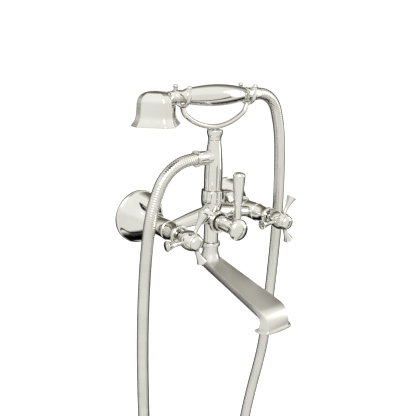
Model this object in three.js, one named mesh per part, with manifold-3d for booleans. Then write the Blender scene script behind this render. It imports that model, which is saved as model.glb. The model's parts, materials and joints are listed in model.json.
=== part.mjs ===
// Exposed wall mounted bath faucet: two quarter-turn valves on a bridge body, a swivelling
// spout below, a diverter in front, and a riser column that holds a hand shower on a cradle.
// Millimetres, +Z up. The wall is the plane y = 0, the faucet stands out towards -Y,
// and the origin is midway between the two inlets.
import * as THREE from 'three';
import { mergeVertices } from 'three/addons/utils/BufferGeometryUtils.js';
import Module from 'manifold-3d';

const wasm = await Module();
wasm.setup();

// ---------------------------------------------------------------- driving dimensions
const GAP = 0.3;                 // clearance between touching pieces
const FIT = 0.3;                 // radial clearance of a pin in its bore

const INLET_SPACING = 150;       // centre to centre of the two inlets
const BODY_REACH = 62.8;         // wall to the bridge and riser axis
const WALL_STUB = 15;            // union length that goes into the wall fitting

const ESCUTCHEON_RADIUS = 36;
const ESCUTCHEON_RIM = 5;        // thickness of the rim that meets the wall
const ESCUTCHEON_DEPTH = 40.5;
const ESCUTCHEON_WALL = 3.5;
const COLLAR_RADIUS = 15.5;      // front collar of the escutcheon
const COLLAR_LENGTH = 6.5;

const UNION_RADIUS = 10.2;
const UNION_BORE = 6.5;
const UNION_END = ESCUTCHEON_DEPTH + 2.5;     // front face of the union
const WASHER_THICKNESS = 1.4;
const TAIL_FLANGE = 3;           // shoulder on the body tail that the nut pulls
const TAIL_RADIUS = 7.8;
const NUT_LENGTH = 10.5;

const BARREL_RADIUS = 12.3;      // valve barrel of the body
const BARREL_END = BODY_REACH + 7.2;          // distance of its front face from the wall
const BARREL_BORE = 9;
const BONNET_RADIUS = 11.8;
const BONNET_RING = 12.8;        // bead at the back and flare at the front
const BONNET_END = BARREL_END + 27;
const CARTRIDGE_WALL_GAP = 0.3;
const CARTRIDGE_LENGTH = 30;
const SPINDLE_RADIUS = 3.4;

const HUB_RADIUS = 12;
const HUB_START = BONNET_END + 3;             // rear face of the handle hub
const HUB_LENGTH = 29;
const SPOKE_LENGTH = 36;         // valve axis to the end of a spoke
const SPOKE_ROOT = 2.5;
const SPOKE_TIP = 6.7;
const SPOKE_PLANE = HUB_START + 18;           // distance of the spokes from the wall
const CAP_RADIUS = 9.4;
const CAP_HEIGHT = 5;
const HANDLE_SCREW_RADIUS = 2;

const ARM_END_RADIUS = 6.2;      // bridge arm at the barrel
const ARM_ROOT_RADIUS = 12;      // bridge arm at the centre
const ARM_ROOT_HEIGHT = 8;       // the arms rise by this much towards the centre
const WATERWAY = 4.5;

const BOSS_RADIUS = 15.1;        // socket for the riser on top of the body
const BOSS_TOP = 40.5;
const BOSS_BOTTOM = 23;
const SPIGOT_RADIUS = 8.4;       // spigot that the spout turns on
const STEM_RADIUS = SPIGOT_RADIUS + 1.8;      // lower part of the body
const STEM_BOTTOM = -31;
const SPIGOT_BOTTOM = STEM_BOTTOM - 21;
const SOCKET_DEPTH = 12.5;

const DIVERTER_BASE_RADIUS = 15;
const DIVERTER_BASE_END = BODY_REACH + 18.2;
const DIVERTER_BONNET_RADIUS = 10;
const DIVERTER_BONNET_END = BODY_REACH + 43.2;
const DIVERTER_BORE = 8;
const KNOB_RADIUS = 14.3;
const KNOB_LENGTH = 19;
const LEVER_OFFSET = 7.5;        // lever axis in front of the knob's rear face
const LEVER_BOTTOM = 14.6;
const LEVER_TOP = 74;
const LEVER_ROOT = 5.2;
const LEVER_TIP = 7.9;
const LEVER_TENON = 3.6;

const COLUMN_RADIUS = 12.2;
const COLUMN_NECK = 8.8;
const COLUMN_TOP = 107;
const COLUMN_SHOULDER = COLUMN_TOP - 37;      // height where the taper starts
const COLUMN_BORE = 6;
const COLUMN_TENON = 10;
const OUTLET_HEIGHT = COLUMN_TOP - 22.5;
const OUTLET_BOSS_RADIUS = 9.3;
const OUTLET_BOSS_REACH = 15;    // column axis to the face of the hose outlet boss
const NIPPLE_RADIUS = 6.4;
const NIPPLE_REACH = 22;
const HOSE_NUT_LENGTH = 15;
const HOSE_NUT_LIP = 10.9;

const CUP_HEIGHT = 13;
const CUP_TOP_RADIUS = 10.7;
const CRADLE_BAR = 3.2;
const CRADLE_ARC_RADIUS = 73.8;
const FORK_HALF_WIDTH = 14.3;
const FORK_BAR = 2.5;
const FORK_BOTTOM = COLUMN_TOP + 44.8;
const FORK_TOP = FORK_BOTTOM + 21.2;
const PEG_RADIUS = 3.1;
const CRADLE_SCREW_RADIUS = 2;

const HANDSET_AXIS = FORK_BOTTOM + 11.5;      // height of the handset's axis
const NECK_RADIUS = 8.5;
const GRIP_HALF_LENGTH = 46;
const FORK_HALF_SPACING = GRIP_HALF_LENGTH + 6.7;   // riser axis to a fork
const GRIP_BELLY = 13.7;
const GRIP_LEFT = 9.6;
const GRIP_RIGHT = 8.7;
const TUBE_RADIUS = 5.3;
const TUBE_WALL = 1.1;
const END_COLLAR_RADIUS = 9.2;
const END_COLLAR_END = GRIP_HALF_LENGTH + 11;
const HANDSET_THREAD = 6.8;
const HANDSET_NUT_RADIUS = 9.4;
const HANDSET_NUT_END = END_COLLAR_END + 14;

const HEAD_CENTRE = -GRIP_HALF_LENGTH - 43.5;       // x of the shower head's axis
const NECK_START = HEAD_CENTRE + 24.9;
const HEAD_TOP = HANDSET_AXIS + 7.7;
const HEAD_RIM = HANDSET_AXIS - 32.3;
const HEAD_WIDE = 27;            // wide facet at the waist
const HEAD_NARROW = 10.5;        // narrow facet at the waist
const HEAD_FLARE = 1.25;         // rim size over waist size
const HEAD_WALL = 2.2;
const PLATE_THICKNESS = 2.4;
const PLATE_RADIUS = 20;

const HOSE_DIAMETER = 16;

const SPOUT_NECK = SPIGOT_RADIUS + 2.5;
const SPOUT_NECK_FLARE = SPOUT_NECK + 2.7;
const SPOUT_PLATE_TOP = STEM_BOTTOM - 23;     // top of the spout blade at the neck
const SPOUT_HALF_WIDTH = 13.4;   // at the neck
const SPOUT_END_HALF_WIDTH = 22.6;
const SPOUT_THICKNESS = 13;
const SPOUT_REACH = 200;         // wall to the middle of the outlet
const SPOUT_SLOPE = 0.21;        // fall of the blade for each millimetre outwards
const NOSE_DROP = 27.3;          // start of the nose bend down to the outlet
const NOSE_RADIUS = 26;          // of the bend at the nose
const NOSE_NARROWING = 0.26;     // share by which the front face is narrower than the outlet
const LIP_HEIGHT = 3.6;
const LIP_OVERHANG = 2.4;
const SPOUT_NUT_RADIUS = 13.1;
const SPOUT_NUT_HEIGHT = 6;

const FINE = 18;                 // sides of the large turned pieces
const COARSE = 12;               // sides of the small and hidden ones

// ---------------------------------------------------------------- materials
const finishes = {
  nickel: { color: 0xd7d5cb, roughness: 0.12, metalness: 1 },
  brass: { color: 0xb08d45, roughness: 0.35, metalness: 1 },
  rubber: { color: 0x1d1d1d, roughness: 0.8, metalness: 0 },
  ceramic: { color: 0xe8e6df, roughness: 0.4, metalness: 0 },
};
const material = (name) => new THREE.MeshStandardMaterial({ name, ...finishes[name] });

// ---------------------------------------------------------------- geometry helpers
// Merges shared vertices, drops collapsed triangles and turns every face outwards.
function closed(source) {
  const plain = source.clone();
  for (const key of Object.keys(plain.attributes)) {
    if (key !== 'position') plain.deleteAttribute(key);
  }
  const merged = mergeVertices(plain, 1e-4);
  const index = merged.index.array;
  const kept = [];
  for (let i = 0; i < index.length; i += 3) {
    const [a, b, c] = [index[i], index[i + 1], index[i + 2]];
    if (a !== b && b !== c && c !== a) kept.push(a, b, c);
  }
  const point = (i) => new THREE.Vector3().fromBufferAttribute(merged.attributes.position, i);
  let volume = 0;
  for (let i = 0; i < kept.length; i += 3) {
    volume += point(kept[i]).dot(point(kept[i + 1]).cross(point(kept[i + 2])));
  }
  if (volume < 0) kept.reverse();
  merged.setIndex(kept);
  return merged;
}

function toManifold(geometry) {
  const tidy = closed(geometry);
  return new wasm.Manifold(new wasm.Mesh({
    numProp: 3,
    vertProperties: new Float32Array(tidy.attributes.position.array),
    triVerts: new Uint32Array(tidy.index.array),
  }));
}

function fromManifold(manifold) {
  const mesh = manifold.getMesh();
  const geometry = new THREE.BufferGeometry();
  geometry.setAttribute('position', new THREE.BufferAttribute(mesh.vertProperties, 3));
  geometry.setIndex(Array.from(mesh.triVerts));
  return geometry;
}

// One solid: the joined bodies less the cutters.
function carve(bodies, cutters = []) {
  let solid = toManifold(bodies[0]);
  for (const body of bodies.slice(1)) solid = solid.add(toManifold(body));
  for (const cutter of cutters) solid = solid.subtract(toManifold(cutter));
  return fromManifold(solid);
}

// Turned shapes. A profile is a list of [radius, place along the axis].
const lathe = (profile, sides) => closed(
  new THREE.LatheGeometry(profile.map(([r, a]) => new THREE.Vector2(r, a)), sides));
const alongY = (profile, sides = FINE) => lathe(profile.map(([r, s]) => [r, -s]), sides);
const alongZ = (profile, sides = FINE) => lathe(profile, sides).rotateX(Math.PI / 2);
const alongX = (profile, sides = FINE) => lathe(profile, sides).rotateZ(-Math.PI / 2);

const rod = (radius, from, to) => [[0, from], [radius, from], [radius, to], [0, to]];
const ring = (inner, outer, from, to) =>
  [[inner, from], [outer, from], [outer, to], [inner, to], [inner, from]];

// A cone between two points, used for the bridge arms and their waterways.
function strut(start, end, startRadius, endRadius, sides = FINE) {
  const a = new THREE.Vector3(...start);
  const span = new THREE.Vector3(...end).sub(a);
  const turn = new THREE.Quaternion().setFromUnitVectors(
    new THREE.Vector3(0, 1, 0), span.clone().normalize());
  return lathe([[0, 0], [startRadius, 0], [endRadius, span.length()], [0, span.length()]], sides)
    .applyQuaternion(turn).translate(...start);
}

// A round bar swept along a smooth curve through the given points.
function bar(points, radius, steps, sides = 8) {
  const section = new THREE.Shape();
  for (let i = 0; i < sides; i += 1) {
    const angle = (2 * Math.PI * i) / sides;
    const [x, y] = [radius * Math.cos(angle), radius * Math.sin(angle)];
    if (i === 0) section.moveTo(x, y);
    else section.lineTo(x, y);
  }
  section.closePath();
  const path = new THREE.CatmullRomCurve3(points.map((p) => new THREE.Vector3(...p)));
  return new THREE.ExtrudeGeometry(section, { steps, extrudePath: path, bevelEnabled: false });
}

// Skins a closed solid through a list of rings, each a list of [x, y, z] with the same count.
function loft(rings) {
  const count = rings[0].length;
  const positions = rings.flat(2);
  const index = [];
  for (let r = 0; r < rings.length - 1; r += 1) {
    for (let i = 0; i < count; i += 1) {
      const j = (i + 1) % count;
      const [a, b] = [r * count + i, r * count + j];
      index.push(a, b, b + count, a, b + count, a + count);
    }
  }
  const last = (rings.length - 1) * count;
  for (let i = 1; i < count - 1; i += 1) {
    index.push(0, i + 1, i, last, last + i, last + i + 1);
  }
  const geometry = new THREE.BufferGeometry();
  geometry.setAttribute('position', new THREE.Float32BufferAttribute(positions, 3));
  geometry.setIndex(index);
  return closed(geometry);
}

const faucet = new THREE.Group();
function node(name, geometry, finish, parent = faucet) {
  const mesh = new THREE.Mesh(geometry, material(finish));
  mesh.name = name;
  parent.add(mesh);
}

// ---------------------------------------------------------------- one inlet and its valve
const tailStart = UNION_END + GAP + WASHER_THICKNESS + GAP;
const flangeEnd = tailStart + TAIL_FLANGE;
const nutStart = ESCUTCHEON_DEPTH + GAP;
const nutEnd = nutStart + NUT_LENGTH;
const barrelStart = nutEnd + GAP;
const bonnetStart = BARREL_END + GAP;
const cartridgeStart = BARREL_END - 14;
const cartridgeEnd = cartridgeStart + CARTRIDGE_LENGTH;
const spindleStart = cartridgeEnd + GAP;
const hubEnd = HUB_START + HUB_LENGTH;
const capPlug = 7.4;
const screwSeat = hubEnd - 8;
const spindleEnd = screwSeat - 4;

function escutcheon() {
  const inner = UNION_RADIUS + 0.8;
  const rimInner = ESCUTCHEON_RADIUS - ESCUTCHEON_WALL;
  const collarStart = ESCUTCHEON_DEPTH - COLLAR_LENGTH;
  const rise = collarStart - ESCUTCHEON_RIM;
  const fall = ESCUTCHEON_RADIUS - COLLAR_RADIUS;
  const outer = [];
  const steps = 4;
  for (let i = 0; i <= steps; i += 1) {
    const t = i / steps;
    outer.push([ESCUTCHEON_RADIUS - 1.6 - (fall - 2) * t, ESCUTCHEON_RIM + rise * t ** 0.78]);
  }
  const shell = outer.map(([r, s]) => [r - ESCUTCHEON_WALL, s - 2.2]).reverse();
  return alongY([
    [ESCUTCHEON_RADIUS, 0], [ESCUTCHEON_RADIUS, ESCUTCHEON_RIM - 0.6], ...outer,
    [COLLAR_RADIUS, collarStart + 0.6], [COLLAR_RADIUS, ESCUTCHEON_DEPTH],
    [inner, ESCUTCHEON_DEPTH], [inner, collarStart - 1.5], ...shell,
    [rimInner, 0], [ESCUTCHEON_RADIUS, 0],
  ]);
}

function unionNut() {
  const thread = UNION_RADIUS + FIT;
  const lip = TAIL_RADIUS + FIT;
  const lipStart = flangeEnd + GAP;
  return alongY([
    [thread, nutStart], [BARREL_RADIUS - 0.5, nutStart], [BARREL_RADIUS, nutStart + 0.5],
    [BARREL_RADIUS, nutEnd - 0.5], [BARREL_RADIUS - 0.5, nutEnd], [lip, nutEnd],
    [lip, lipStart], [thread, lipStart], [thread, nutStart],
  ]);
}

function valveBonnet() {
  const bore = BARREL_BORE;
  const hole = SPINDLE_RADIUS + 1;
  const shoulder = cartridgeEnd + GAP;
  return alongY([
    [bore, bonnetStart], [BONNET_RING, bonnetStart], [BONNET_RING, bonnetStart + 2.2],
    [BONNET_RADIUS, bonnetStart + 3], [BONNET_RADIUS, BONNET_END - 6],
    [BONNET_RING, BONNET_END - 3], [BONNET_RING, BONNET_END - 0.6],
    [BONNET_RING - 0.8, BONNET_END], [BONNET_RING - 3, BONNET_END],
    [BONNET_RING - 4.2, BONNET_END - 3], [hole, BONNET_END - 3], [hole, shoulder],
    [bore, shoulder], [bore, bonnetStart],
  ]);
}

const cartridgeRadius = BARREL_BORE - CARTRIDGE_WALL_GAP;
const cartridge = () => alongY([
  [3, cartridgeStart], [cartridgeRadius, cartridgeStart],
  [cartridgeRadius, cartridgeEnd], [0, cartridgeEnd], [0, cartridgeEnd - 6],
  [3, cartridgeEnd - 6], [3, cartridgeStart],
], COARSE);

const spindle = () => alongY([
  [0, spindleStart], [SPINDLE_RADIUS, spindleStart], [SPINDLE_RADIUS, spindleEnd],
  [HANDLE_SCREW_RADIUS + FIT, spindleEnd], [HANDLE_SCREW_RADIUS + FIT, spindleEnd - 9],
  [0, spindleEnd - 9],
], COARSE);

function spoke(degrees) {
  const reach = SPOKE_LENGTH - 1.4;
  const profile = [[0, 5], [SPOKE_ROOT, 5]];
  const steps = 6;
  for (let i = 0; i <= steps; i += 1) {
    const t = i / steps;
    profile.push([SPOKE_ROOT + (SPOKE_TIP - SPOKE_ROOT) * t ** 2.2, HUB_RADIUS + (reach - HUB_RADIUS) * t]);
  }
  profile.push([SPOKE_TIP * 0.55, SPOKE_LENGTH - 0.4], [0, SPOKE_LENGTH]);
  const angle = THREE.MathUtils.degToRad(degrees);
  return alongX(profile, COARSE).rotateY(-angle).translate(0, -SPOKE_PLANE, 0);
}

function handle() {
  const bore = SPINDLE_RADIUS + FIT;
  const hub = alongY([
    [0, HUB_START], [7.2, HUB_START], [7.6, HUB_START + 3], [HUB_RADIUS - 1.2, HUB_START + 8],
    [HUB_RADIUS, HUB_START + 13], [HUB_RADIUS, HUB_START + 20], [HUB_RADIUS - 1, HUB_START + 25],
    [CAP_RADIUS, hubEnd], [0, hubEnd],
  ]);
  const cuts = [
    alongY(rod(bore, HUB_START - 1, spindleEnd + GAP), COARSE),
    alongY(rod(HANDLE_SCREW_RADIUS + FIT, spindleEnd, screwSeat + 1), COARSE),
    alongY(rod(capPlug + FIT, screwSeat, hubEnd + 1), COARSE),
  ];
  return carve([hub, spoke(180), spoke(60), spoke(-60)], cuts);
}

const handleScrew = () => alongY([
  [0, spindleEnd - 7], [HANDLE_SCREW_RADIUS, spindleEnd - 7],
  [HANDLE_SCREW_RADIUS, screwSeat + GAP], [4.2, screwSeat + GAP], [4.2, screwSeat + 3],
  [0, screwSeat + 3],
], COARSE);

const handleCap = () => alongY([
  [0, screwSeat + 4], [capPlug, screwSeat + 4], [capPlug, hubEnd + GAP], [CAP_RADIUS, hubEnd + GAP],
  [CAP_RADIUS, hubEnd + 1.4], [CAP_RADIUS * 0.88, hubEnd + CAP_HEIGHT * 0.62],
  [CAP_RADIUS * 0.5, hubEnd + CAP_HEIGHT * 0.92], [0, hubEnd + CAP_HEIGHT],
]);

function valve(side, x) {
  const group = new THREE.Group();
  group.position.x = x;
  faucet.add(group);
  node(`${side}_wall_union`,
    alongY(ring(UNION_BORE, UNION_RADIUS, -WALL_STUB, UNION_END), COARSE), 'brass', group);
  node(`${side}_escutcheon`, escutcheon(), 'nickel', group);
  node(`${side}_union_washer`, alongY(ring(UNION_BORE, UNION_RADIUS - FIT,
    UNION_END + GAP, UNION_END + GAP + WASHER_THICKNESS), COARSE), 'rubber', group);
  node(`${side}_union_nut`, unionNut(), 'nickel', group);
  node(`${side}_valve_bonnet`, valveBonnet(), 'nickel', group);
  node(`${side}_ceramic_cartridge`, cartridge(), 'ceramic', group);
  node(`${side}_valve_spindle`, spindle(), 'nickel', group);
  node(`${side}_handle`, handle(), 'nickel', group);
  node(`${side}_handle_screw`, handleScrew(), 'brass', group);
  node(`${side}_handle_cap`, handleCap(), 'nickel', group);
}
valve('left', -INLET_SPACING / 2);
valve('right', INLET_SPACING / 2);

// ---------------------------------------------------------------- bridge body
const socketFloor = BOSS_TOP - SOCKET_DEPTH;
const diverterBoreStart = BODY_REACH + 3;

function mixerBody() {
  const stem = alongZ([
    [0, SPIGOT_BOTTOM], [SPIGOT_RADIUS, SPIGOT_BOTTOM], [SPIGOT_RADIUS, STEM_BOTTOM],
    [STEM_RADIUS, STEM_BOTTOM], [STEM_RADIUS, 6], [BOSS_RADIUS, BOSS_BOTTOM],
    [BOSS_RADIUS, BOSS_TOP - 0.8], [BOSS_RADIUS - 0.8, BOSS_TOP], [0, BOSS_TOP],
  ]).translate(0, -BODY_REACH, 0);
  const diverterBase = alongY([
    [0, BODY_REACH], [DIVERTER_BONNET_RADIUS + 1, BODY_REACH],
    [DIVERTER_BONNET_RADIUS + 1, DIVERTER_BASE_END - 7],
    [DIVERTER_BASE_RADIUS, DIVERTER_BASE_END - 4.5],
    [DIVERTER_BASE_RADIUS, DIVERTER_BASE_END - 0.8],
    [DIVERTER_BASE_RADIUS - 0.8, DIVERTER_BASE_END], [0, DIVERTER_BASE_END],
  ]);
  const bodies = [stem, diverterBase];
  const cuts = [
    alongZ(rod(COLUMN_TENON + FIT, socketFloor, BOSS_TOP + 1)).translate(0, -BODY_REACH, 0),
    alongZ(rod(5.2, SPIGOT_BOTTOM - 1, socketFloor + 1), COARSE).translate(0, -BODY_REACH, 0),
    alongY(rod(DIVERTER_BORE, diverterBoreStart, DIVERTER_BASE_END + 1)),
  ];
  for (const x of [-INLET_SPACING / 2, INLET_SPACING / 2]) {
    bodies.push(alongY([
      [0, tailStart], [UNION_RADIUS - FIT, tailStart], [UNION_RADIUS - FIT, flangeEnd],
      [TAIL_RADIUS, flangeEnd], [TAIL_RADIUS, barrelStart], [BARREL_RADIUS, barrelStart],
      [BARREL_RADIUS, BARREL_END], [0, BARREL_END],
    ]).translate(x, 0, 0));
    const start = [0, -BODY_REACH, ARM_ROOT_HEIGHT];
    const end = [x, -BODY_REACH, 0];
    bodies.push(strut(start, end, ARM_ROOT_RADIUS, ARM_END_RADIUS));
    cuts.push(strut(start, end, WATERWAY, WATERWAY, 12));
    cuts.push(alongY(rod(5.5, tailStart - 1, cartridgeStart), COARSE).translate(x, 0, 0));
    cuts.push(alongY(rod(BARREL_BORE, cartridgeStart - GAP, BARREL_END + 1)).translate(x, 0, 0));
  }
  return carve(bodies, cuts);
}
node('mixer_body', mixerBody(), 'nickel');

// ---------------------------------------------------------------- diverter
const divBonnetStart = DIVERTER_BASE_END + GAP;
const divCartridgeEnd = DIVERTER_BASE_END + 12;
const knobStart = DIVERTER_BONNET_END + GAP;
const knobEnd = knobStart + KNOB_LENGTH;
const leverReach = knobStart + LEVER_OFFSET;
const divSpindleEnd = knobStart + 12;

node('diverter_bonnet', alongY([
  [DIVERTER_BORE, divBonnetStart], [DIVERTER_BONNET_RADIUS, divBonnetStart],
  [DIVERTER_BONNET_RADIUS, DIVERTER_BONNET_END], [SPINDLE_RADIUS + 0.8, DIVERTER_BONNET_END],
  [SPINDLE_RADIUS + 0.8, divCartridgeEnd + GAP], [DIVERTER_BORE, divCartridgeEnd + GAP],
  [DIVERTER_BORE, divBonnetStart],
]), 'nickel');
node('diverter_cartridge', alongY([
  [0, diverterBoreStart + GAP], [DIVERTER_BORE - FIT, diverterBoreStart + GAP],
  [DIVERTER_BORE - FIT, divCartridgeEnd], [2.5, divCartridgeEnd],
  [2.5, divCartridgeEnd - 5], [0, divCartridgeEnd - 5],
], COARSE), 'ceramic');
node('diverter_spindle', alongY(
  rod(SPINDLE_RADIUS, divCartridgeEnd + GAP, divSpindleEnd), COARSE), 'brass');

function diverterKnob() {
  const shell = alongY([
    [0, knobStart], [DIVERTER_BONNET_RADIUS, knobStart], [DIVERTER_BONNET_RADIUS, knobStart + 4],
    [DIVERTER_BONNET_RADIUS + 0.7, knobStart + 5.7], [KNOB_RADIUS - 0.2, knobStart + 10],
    [KNOB_RADIUS, knobStart + 11.7], [KNOB_RADIUS * 0.94, knobStart + 14], [KNOB_RADIUS * 0.74, knobStart + 16.5],
    [KNOB_RADIUS * 0.42, knobStart + 18.2], [0, knobEnd],
  ]);
  return carve([shell], [
    alongY(rod(SPINDLE_RADIUS + FIT, knobStart - 1, divSpindleEnd + GAP), COARSE),
    alongZ(rod(LEVER_TENON + FIT, 6, KNOB_RADIUS + 2), COARSE).translate(0, -leverReach, 0),
    alongZ(rod(KNOB_RADIUS, LEVER_BOTTOM - GAP, KNOB_RADIUS + 3), COARSE).translate(0, -leverReach, 0),
    alongZ(rod(2.1, -KNOB_RADIUS - 1, 0), COARSE).translate(0, -leverReach, 0),
  ]);
}
node('diverter_knob', diverterKnob(), 'nickel');
node('diverter_lever', alongZ([
  [0, 6 + GAP], [LEVER_TENON, 6 + GAP], [LEVER_TENON, LEVER_BOTTOM], [LEVER_ROOT, LEVER_BOTTOM],
  [LEVER_ROOT + 0.1, LEVER_BOTTOM + 6], [LEVER_TIP, LEVER_TOP - 6], [LEVER_TIP * 0.86, LEVER_TOP - 3],
  [LEVER_TIP * 0.5, LEVER_TOP - 0.8], [0, LEVER_TOP],
]).translate(0, -leverReach, 0), 'nickel');
node('lever_grub_screw', alongZ(rod(1.8, -KNOB_RADIUS + 2, -SPINDLE_RADIUS - FIT), COARSE)
  .translate(0, -leverReach, 0), 'brass');

// ---------------------------------------------------------------- riser column and hose outlet
const columnBottom = socketFloor + 2;
const nippleEnd = NIPPLE_REACH;
const hoseNutStart = OUTLET_BOSS_REACH + GAP;
const hoseNutEnd = hoseNutStart + HOSE_NUT_LENGTH;

function riserColumn() {
  const shaft = alongZ([
    [0, columnBottom], [COLUMN_TENON, columnBottom], [COLUMN_TENON, BOSS_TOP + GAP],
    [COLUMN_RADIUS, BOSS_TOP + GAP], [COLUMN_RADIUS, COLUMN_SHOULDER],
    [COLUMN_RADIUS - 1.1, COLUMN_SHOULDER + 14], [COLUMN_NECK + 1.3, COLUMN_TOP - 12],
    [COLUMN_NECK + 0.3, COLUMN_TOP - 5], [COLUMN_NECK, COLUMN_TOP], [5, COLUMN_TOP],
    [5, COLUMN_TOP + 4], [0, COLUMN_TOP + 4],
  ]);
  const boss = alongX(rod(OUTLET_BOSS_RADIUS, -OUTLET_BOSS_REACH, 0)).translate(0, 0, OUTLET_HEIGHT);
  return carve([shaft, boss], [
    alongZ(rod(COLUMN_BORE, columnBottom - 1, OUTLET_HEIGHT + 8), COARSE),
    alongX(rod(NIPPLE_RADIUS + FIT, -OUTLET_BOSS_REACH - 1, -4), COARSE).translate(0, 0, OUTLET_HEIGHT),
  ]).translate(0, -BODY_REACH, 0);
}
node('riser_column', riserColumn(), 'nickel');
node('riser_washer', alongZ(ring(COLUMN_BORE, COLUMN_TENON, socketFloor + GAP, columnBottom - GAP), COARSE)
  .translate(0, -BODY_REACH, 0), 'rubber');

const outlet = new THREE.Group();
outlet.position.set(0, -BODY_REACH, OUTLET_HEIGHT);
faucet.add(outlet);
node('hose_outlet_nipple', alongX(ring(4.4, NIPPLE_RADIUS, -nippleEnd, -8), COARSE), 'brass', outlet);
node('outlet_hose_washer', alongX(ring(4.4, NIPPLE_RADIUS, -nippleEnd - GAP - WASHER_THICKNESS,
  -nippleEnd - GAP), COARSE), 'rubber', outlet);
const outletNutBore = NIPPLE_RADIUS + FIT;
const outletNutFloor = nippleEnd + 2 * GAP + WASHER_THICKNESS;
node('outlet_hose_nut', alongX([
  [outletNutBore, -hoseNutStart], [OUTLET_BOSS_RADIUS, -hoseNutStart],
  [OUTLET_BOSS_RADIUS, -hoseNutEnd + 3], [HOSE_NUT_LIP, -hoseNutEnd + 2.4], [HOSE_NUT_LIP, -hoseNutEnd],
  [5, -hoseNutEnd], [5, -outletNutFloor], [outletNutBore, -outletNutFloor],
  [outletNutBore, -hoseNutStart],
]), 'nickel', outlet);

// ---------------------------------------------------------------- cradle
const cupBottom = COLUMN_TOP + GAP;
const cupTop = COLUMN_TOP + GAP + CUP_HEIGHT;
const arcBottom = cupTop + GAP + CRADLE_BAR;

node('cradle_cup', alongZ([
  [5 + FIT, cupBottom], [COLUMN_NECK, cupBottom], [COLUMN_NECK + 0.2, cupBottom + 3],
  [CUP_TOP_RADIUS - 0.4, cupTop - 6], [CUP_TOP_RADIUS, cupTop - 1], [CUP_TOP_RADIUS - 1, cupTop],
  [CRADLE_SCREW_RADIUS + FIT, cupTop], [CRADLE_SCREW_RADIUS + FIT, cupBottom + 7],
  [5 + FIT, cupBottom + 7], [5 + FIT, cupBottom],
]).translate(0, -BODY_REACH, 0), 'nickel');
node('cradle_screw', alongZ([
  [0, COLUMN_TOP + 4 + GAP], [4, COLUMN_TOP + 4 + GAP], [4, cupBottom + 7 - GAP],
  [CRADLE_SCREW_RADIUS, cupBottom + 7 - GAP], [CRADLE_SCREW_RADIUS, arcBottom - 0.5],
  [0, arcBottom - 0.5],
], COARSE).translate(0, -BODY_REACH, 0), 'nickel');

function cradleFork() {
  const centre = arcBottom + CRADLE_ARC_RADIUS;
  const arc = [[-FORK_HALF_SPACING, 0, FORK_BOTTOM]];
  const reach = FORK_HALF_SPACING - 4.7;
  for (let i = -4; i <= 4; i += 1) {
    const x = (reach * i) / 4;
    arc.push([x, 0, centre - Math.sqrt(CRADLE_ARC_RADIUS ** 2 - x ** 2)]);
  }
  arc.push([FORK_HALF_SPACING, 0, FORK_BOTTOM]);
  const bodies = [bar(arc, CRADLE_BAR, 18)];
  for (const x of [-FORK_HALF_SPACING, FORK_HALF_SPACING]) {
    const rise = HANDSET_AXIS - FORK_BOTTOM;
    const yoke = [[x, FORK_HALF_WIDTH, FORK_TOP]];
    const steps = 6;
    for (let i = 0; i <= steps; i += 1) {
      const angle = Math.PI * (i / steps);
      yoke.push([x, FORK_HALF_WIDTH * Math.cos(angle), HANDSET_AXIS - rise * Math.sin(angle)]);
    }
    yoke.push([x, -FORK_HALF_WIDTH, FORK_TOP]);
    bodies.push(bar(yoke, FORK_BAR, 10));
    for (const y of [-FORK_HALF_WIDTH, FORK_HALF_WIDTH]) {
      bodies.push(alongZ([
        [0, FORK_TOP - 2], [FORK_BAR * 0.9, FORK_TOP - 2], [PEG_RADIUS * 0.8, FORK_TOP],
        [PEG_RADIUS, FORK_TOP + 1.4], [PEG_RADIUS * 0.8, FORK_TOP + 3], [0, FORK_TOP + 3.8],
      ], 8).translate(x, y, 0));
    }
  }
  const hole = alongZ(rod(CRADLE_SCREW_RADIUS + FIT, arcBottom - 5, arcBottom - 0.2), COARSE);
  return carve(bodies, [hole]).translate(0, -BODY_REACH, 0);
}
node('cradle_fork', cradleFork(), 'nickel');

// ---------------------------------------------------------------- hand shower
const handset = new THREE.Group();
handset.position.set(0, -BODY_REACH, HANDSET_AXIS);
faucet.add(handset);
const tubeBore = TUBE_RADIUS + FIT;
const gripEnd = GRIP_HALF_LENGTH - GAP / 2;
const neckTip = HEAD_CENTRE + 17;

function gripOutline() {
  const outline = [];
  const steps = 8;
  for (let i = 0; i <= steps; i += 1) {
    const t = i / steps;
    const ends = GRIP_LEFT + (GRIP_RIGHT - GRIP_LEFT) * t;
    outline.push([ends + (GRIP_BELLY - ends) * Math.sin(Math.PI * t) ** 0.9, -gripEnd + 2 * gripEnd * t]);
  }
  return outline;
}
node('handset_grip', alongX([
  [tubeBore, -gripEnd], ...gripOutline(), [tubeBore, gripEnd], [tubeBore, -gripEnd],
]), 'nickel', handset);
node('handset_neck', alongX([
  [tubeBore, neckTip], [NECK_RADIUS - 1.5, neckTip], [NECK_RADIUS - 1.5, NECK_START],
  [NECK_RADIUS, NECK_START], [NECK_RADIUS, -gripEnd - 3], [NECK_RADIUS + 1.2, -gripEnd - GAP],
  [tubeBore, -gripEnd - GAP], [tubeBore, neckTip],
]), 'nickel', handset);
node('handset_end_collar', alongX([
  [tubeBore, gripEnd + GAP], [END_COLLAR_RADIUS, gripEnd + GAP], [END_COLLAR_RADIUS, gripEnd + 4.2],
  [NECK_RADIUS - 0.4, gripEnd + 4.8], [NECK_RADIUS - 0.4, END_COLLAR_END],
  [HANDSET_THREAD, END_COLLAR_END], [HANDSET_THREAD, END_COLLAR_END + 6.5],
  [tubeBore, END_COLLAR_END + 6.5], [tubeBore, gripEnd + GAP],
]), 'nickel', handset);
node('handset_inner_tube', alongX(
  ring(TUBE_RADIUS - TUBE_WALL, TUBE_RADIUS, neckTip + 3, END_COLLAR_END + 6), COARSE), 'brass', handset);
const nutFloor = END_COLLAR_END + 6.5 + GAP + WASHER_THICKNESS + GAP;
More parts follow.
